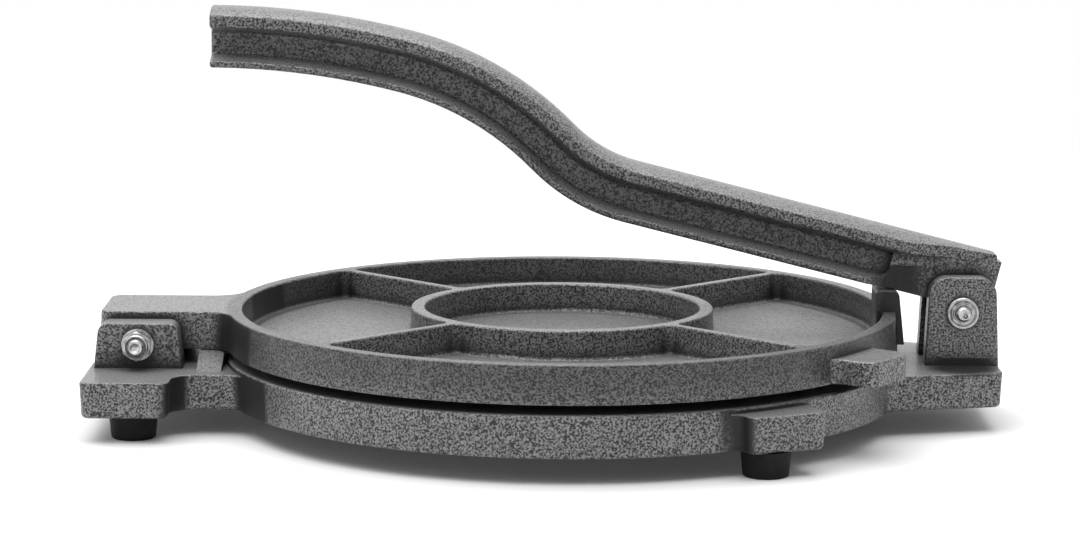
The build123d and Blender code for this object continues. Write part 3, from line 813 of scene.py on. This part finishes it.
@dataclass
class HingeBolt:
    """The plate hinge's bolt, cupped at its end, and the ring of its locking nut.

    Sizes are in millimetres, and steps are insets from a radius and depths from an end.
    """

    radius: float = 3.0
    shank_root: Steps = ((0.2, 0.3), (0.0, 0.0))
    cupped_end: Steps = ((0.5, 0.0), (1.15, 0.0), (1.5, 0.35), (2.3, 0.75))
    thread_depth: float = 0.14
    pitch: float = 0.5
    turns_shown: int = 3
    first_crest: float = 1.9
    head_flats: float = 10.0
    head_height: float = 4.0
    head_crown: Steps = ((1.0, 0.0), (0.75, 0.12), (0.0, 0.55))
    head_foot: Steps = ((0.0, 0.35), (0.5, 0.0))
    ring_radius: float = 4.0
    ring_clearance: float = 0.02
    ring_proud: float = 0.1
    ring_outside: Steps = ((0.0, 0.4), (0.0, 0.08), (0.2, 0.0))
    ring_inside: Steps = ((-0.25, 0.0), (0.0, 0.15))

    def build(self) -> None:
        """Turn bolt, head and nut ring over the CAD's."""
        axis, back, front = measure("hinge_bolt")
        bolt = turn(
            "hinge_bolt_turned",
            axis,
            rings(self.radius, back + self.head_height, self.shank_root)
            + rings(self.radius, front, self.thread())
            + rings(self.radius, front, self.cupped_end),
        )
        fit(bolt, Finish.STEEL, "hinge_bolt")
        self.build_head(axis, back)
        self.build_ring(axis)

    def thread(self) -> Steps:
        """Give the steps of the turns of thread that show, each a root and a crest."""
        crests = [self.first_crest - n * self.pitch for n in range(self.turns_shown)]
        pairs = (
            ((self.thread_depth, crest + self.pitch / 2), (0.0, crest)) for crest in crests
        )
        return tuple(step for pair in pairs for step in pair)

    def build_head(self, axis: Vector, back: float) -> None:
        """Make the hexagonal head with its crown and turned-down corners.

        Args:
            axis: a point of the bolt's axis.
            back: the reach of the head's rear face in millimetres.
        """
        corner = self.head_flats / 2 / math.cos(math.radians(30))
        head = turn(
            "hinge_bolt_head",
            axis,
            rings(corner, back, self.head_crown, way=1)
            + rings(corner, back + self.head_height, self.head_foot),
            sides=6,
        )
        fit(head, Finish.STEEL)

    def build_ring(self, axis: Vector) -> None:
        """Lay the nut's nylon ring in the mouth of its collar.

        Args:
            axis: a point of the bolt's axis.
        """
        _, _, front = measure("hinge_nut")
        end = front + self.ring_proud
        ring = turn(
            "hinge_nut_ring",
            axis,
            rings(self.ring_radius, end, self.ring_outside)
            + rings(self.radius + self.ring_clearance, end, self.ring_inside),
        )
        fit(ring, Finish.NYLON)


@dataclass
class Hardware:
    """Bolt, nut, pin, cap, washers and screws."""

    words: tuple[str, ...] = ("hinge_", "lever_pin", "lever_washer", "foot_washer", "foot_screw")

    def dress(self) -> None:
        """Plate every steel piece, and turn the ones that show their ends."""
        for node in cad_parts:
            if node.startswith(self.words):
                dress_node(node, Finish.STEEL)
        LeverPin().build()
        HingeBolt().build()


@dataclass
class Feet:
    """The four rubber feet."""

    places: tuple[str, ...] = ("left_front", "left_back", "right_front", "right_back")

    def dress(self) -> None:
        """Finish the rubber."""
        for place in self.places:
            dress_node("foot_" + place, Finish.RUBBER)


# --- studio -----------------------------------------------------------------------------


@dataclass(frozen=True)
class Lamp:
    """A large soft lamp: where it hangs and its side, in metres, and its power in watts."""

    name: str
    place: tuple[float, float, float]
    size: float
    power: float

    def hang(self, target: Vector) -> None:
        """Hang the lamp so that it looks at a target.

        Args:
            target: the point it looks at.
        """
        data = bpy.data.lights.new(self.name, "AREA")
        data.size = self.size
        data.energy = self.power
        lamp = bpy.data.objects.new(self.name, data)
        bpy.context.scene.collection.objects.link(lamp)
        place = Vector(self.place)
        aim = (target - place).to_track_quat("-Z", "Y")
        lamp.matrix_world = Matrix.Translation(place) @ aim.to_matrix().to_4x4()


@dataclass
class Studio:
    """White floor, soft lamps and the camera at the photograph's place.

    The floor throws light back only near the press, as a small sweep of white paper does.
    A span is a distance on the floor in metres, or how far a direction of the sky leans.
    """

    picture_width: int = 1080
    focal_pixels: float = 3500.0
    sensor: float = 36.0
    camera_place: tuple[float, float, float] = (-3.5 * MM, -1318.8 * MM, 261.3 * MM)
    camera_pitch: float = 8.83
    camera_roll: float = 0.38
    camera_clip: float = 10 * MM
    floor_size: float = 12.0
    white_span: Span = (0.385, 0.99)
    near_white: float = 0.04
    bounce_span: Span = (0.3, 0.6)
    paper: Colour = grey(0.9)
    far_paper: Colour = grey(0.15)
    front_level: float = 0.06
    back_level: float = 1.0
    back_span: Span = (-0.2, 0.6)
    top_level: float = 0.4
    top_span: Span = (0.3, 0.9)
    left_level: float = 0.15
    left_span: Span = (0.2, 0.9)
    highest_level: float = 1.2
    lamps: tuple[Lamp, ...] = (
        Lamp("top_lamp", (-0.15, -0.05, 1.25), 1.7, 25.0),
        Lamp("key_lamp", (-0.9, -0.8, 0.35), 0.6, 1.0),
    )
    lamp_target: tuple[float, float, float] = (0.0, 0.0, 50 * MM)

    def build(self) -> None:
        """Make camera, floor, world and lamps."""
        self.add_camera()
        self.add_floor()
        self.light_world()
        for lamp in self.lamps:
            lamp.hang(Vector(self.lamp_target))

    def add_camera(self) -> None:
        """Put the camera where the photograph was taken from."""
        data = bpy.data.cameras.new("view_camera")
        data.sensor_width = self.sensor
        data.lens = self.focal_pixels * self.sensor / self.picture_width
        data.clip_start = self.camera_clip
        camera = bpy.data.objects.new("view_camera", data)
        bpy.context.scene.collection.objects.link(camera)
        tilt = Matrix.Rotation(math.radians(90 - self.camera_pitch), 4, "X")
        roll = Matrix.Rotation(math.radians(self.camera_roll), 4, "Z")
        camera.matrix_world = Matrix.Translation(self.camera_place) @ tilt @ roll
        bpy.context.scene.camera = camera

    def add_floor(self) -> None:
        """Lay the floor."""
        bpy.ops.object.select_all(action="DESELECT")
        bpy.ops.mesh.primitive_plane_add(size=self.floor_size)
        floor = bpy.context.object
        floor.name = "studio_floor"
        floor.data.materials.append(self.floor_material(floor.name))

    def floor_material(self, name: str) -> bpy.types.Material:
        """Paint the floor, which keeps the shadow and turns pure white far from the press.

        Args:
            name: the material's name.

        Returns:
            The finished material.
        """
        material, graph = new_material(name)
        distance = graph.add(
            "ShaderNodeVectorMath", {"operation": "LENGTH"}, {0: graph.place()}, output="Value"
        )
        rays = graph.background_rays()
        white = distance.ramp(*self.white_span).math("MAXIMUM", self.near_white)
        near = 1 - distance.ramp(*self.bounce_span)
        tone = graph.blend(near.math("MAXIMUM", rays), self.far_paper, self.paper)
        paper = graph.add("ShaderNodeBsdfDiffuse", inputs={"Color": tone})
        glow = graph.add("ShaderNodeEmission", inputs={"Color": grey(1.0), "Strength": 1.0})
        graph.paint(graph.add("ShaderNodeMixShader", inputs={0: white * rays, 1: paper, 2: glow}))
        return material

    def light_world(self) -> None:
        """Give soft light, strongest from behind, above and the left, before a white backdrop."""
        world = bpy.data.worlds.new("studio_world")
        bpy.context.scene.world = world
        world.use_nodes = True
        graph = Graph(world.node_tree)
        right, back, up = graph.axes(graph.add("ShaderNodeTexCoord", output="Generated"))
        light = self.front_level + back.ramp(*self.back_span) * self.back_level
        light = light + up.ramp(*self.top_span) * self.top_level
        light = light + (0 - right).ramp(*self.left_span) * self.left_level
        seen = graph.background_rays()
        strength = seen + light.math("MINIMUM", self.highest_level) * (1 - seen)
        sky = graph.add("ShaderNodeBackground", inputs={"Color": grey(1.0), "Strength": strength})
        graph.add("ShaderNodeOutputWorld", inputs={"Surface": sky})


def main() -> None:
    """Build and dress the press in its studio."""
    logging.basicConfig(level=logging.INFO, format="%(message)s")
    bpy.context.scene.view_settings.view_transform = "Standard"
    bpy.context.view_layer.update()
    for part in (Castings(), Hardware(), Feet()):
        part.dress()
        log.info("%s dressed", type(part).__name__)
    Studio().build()


if __name__ == "__main__":
    main()
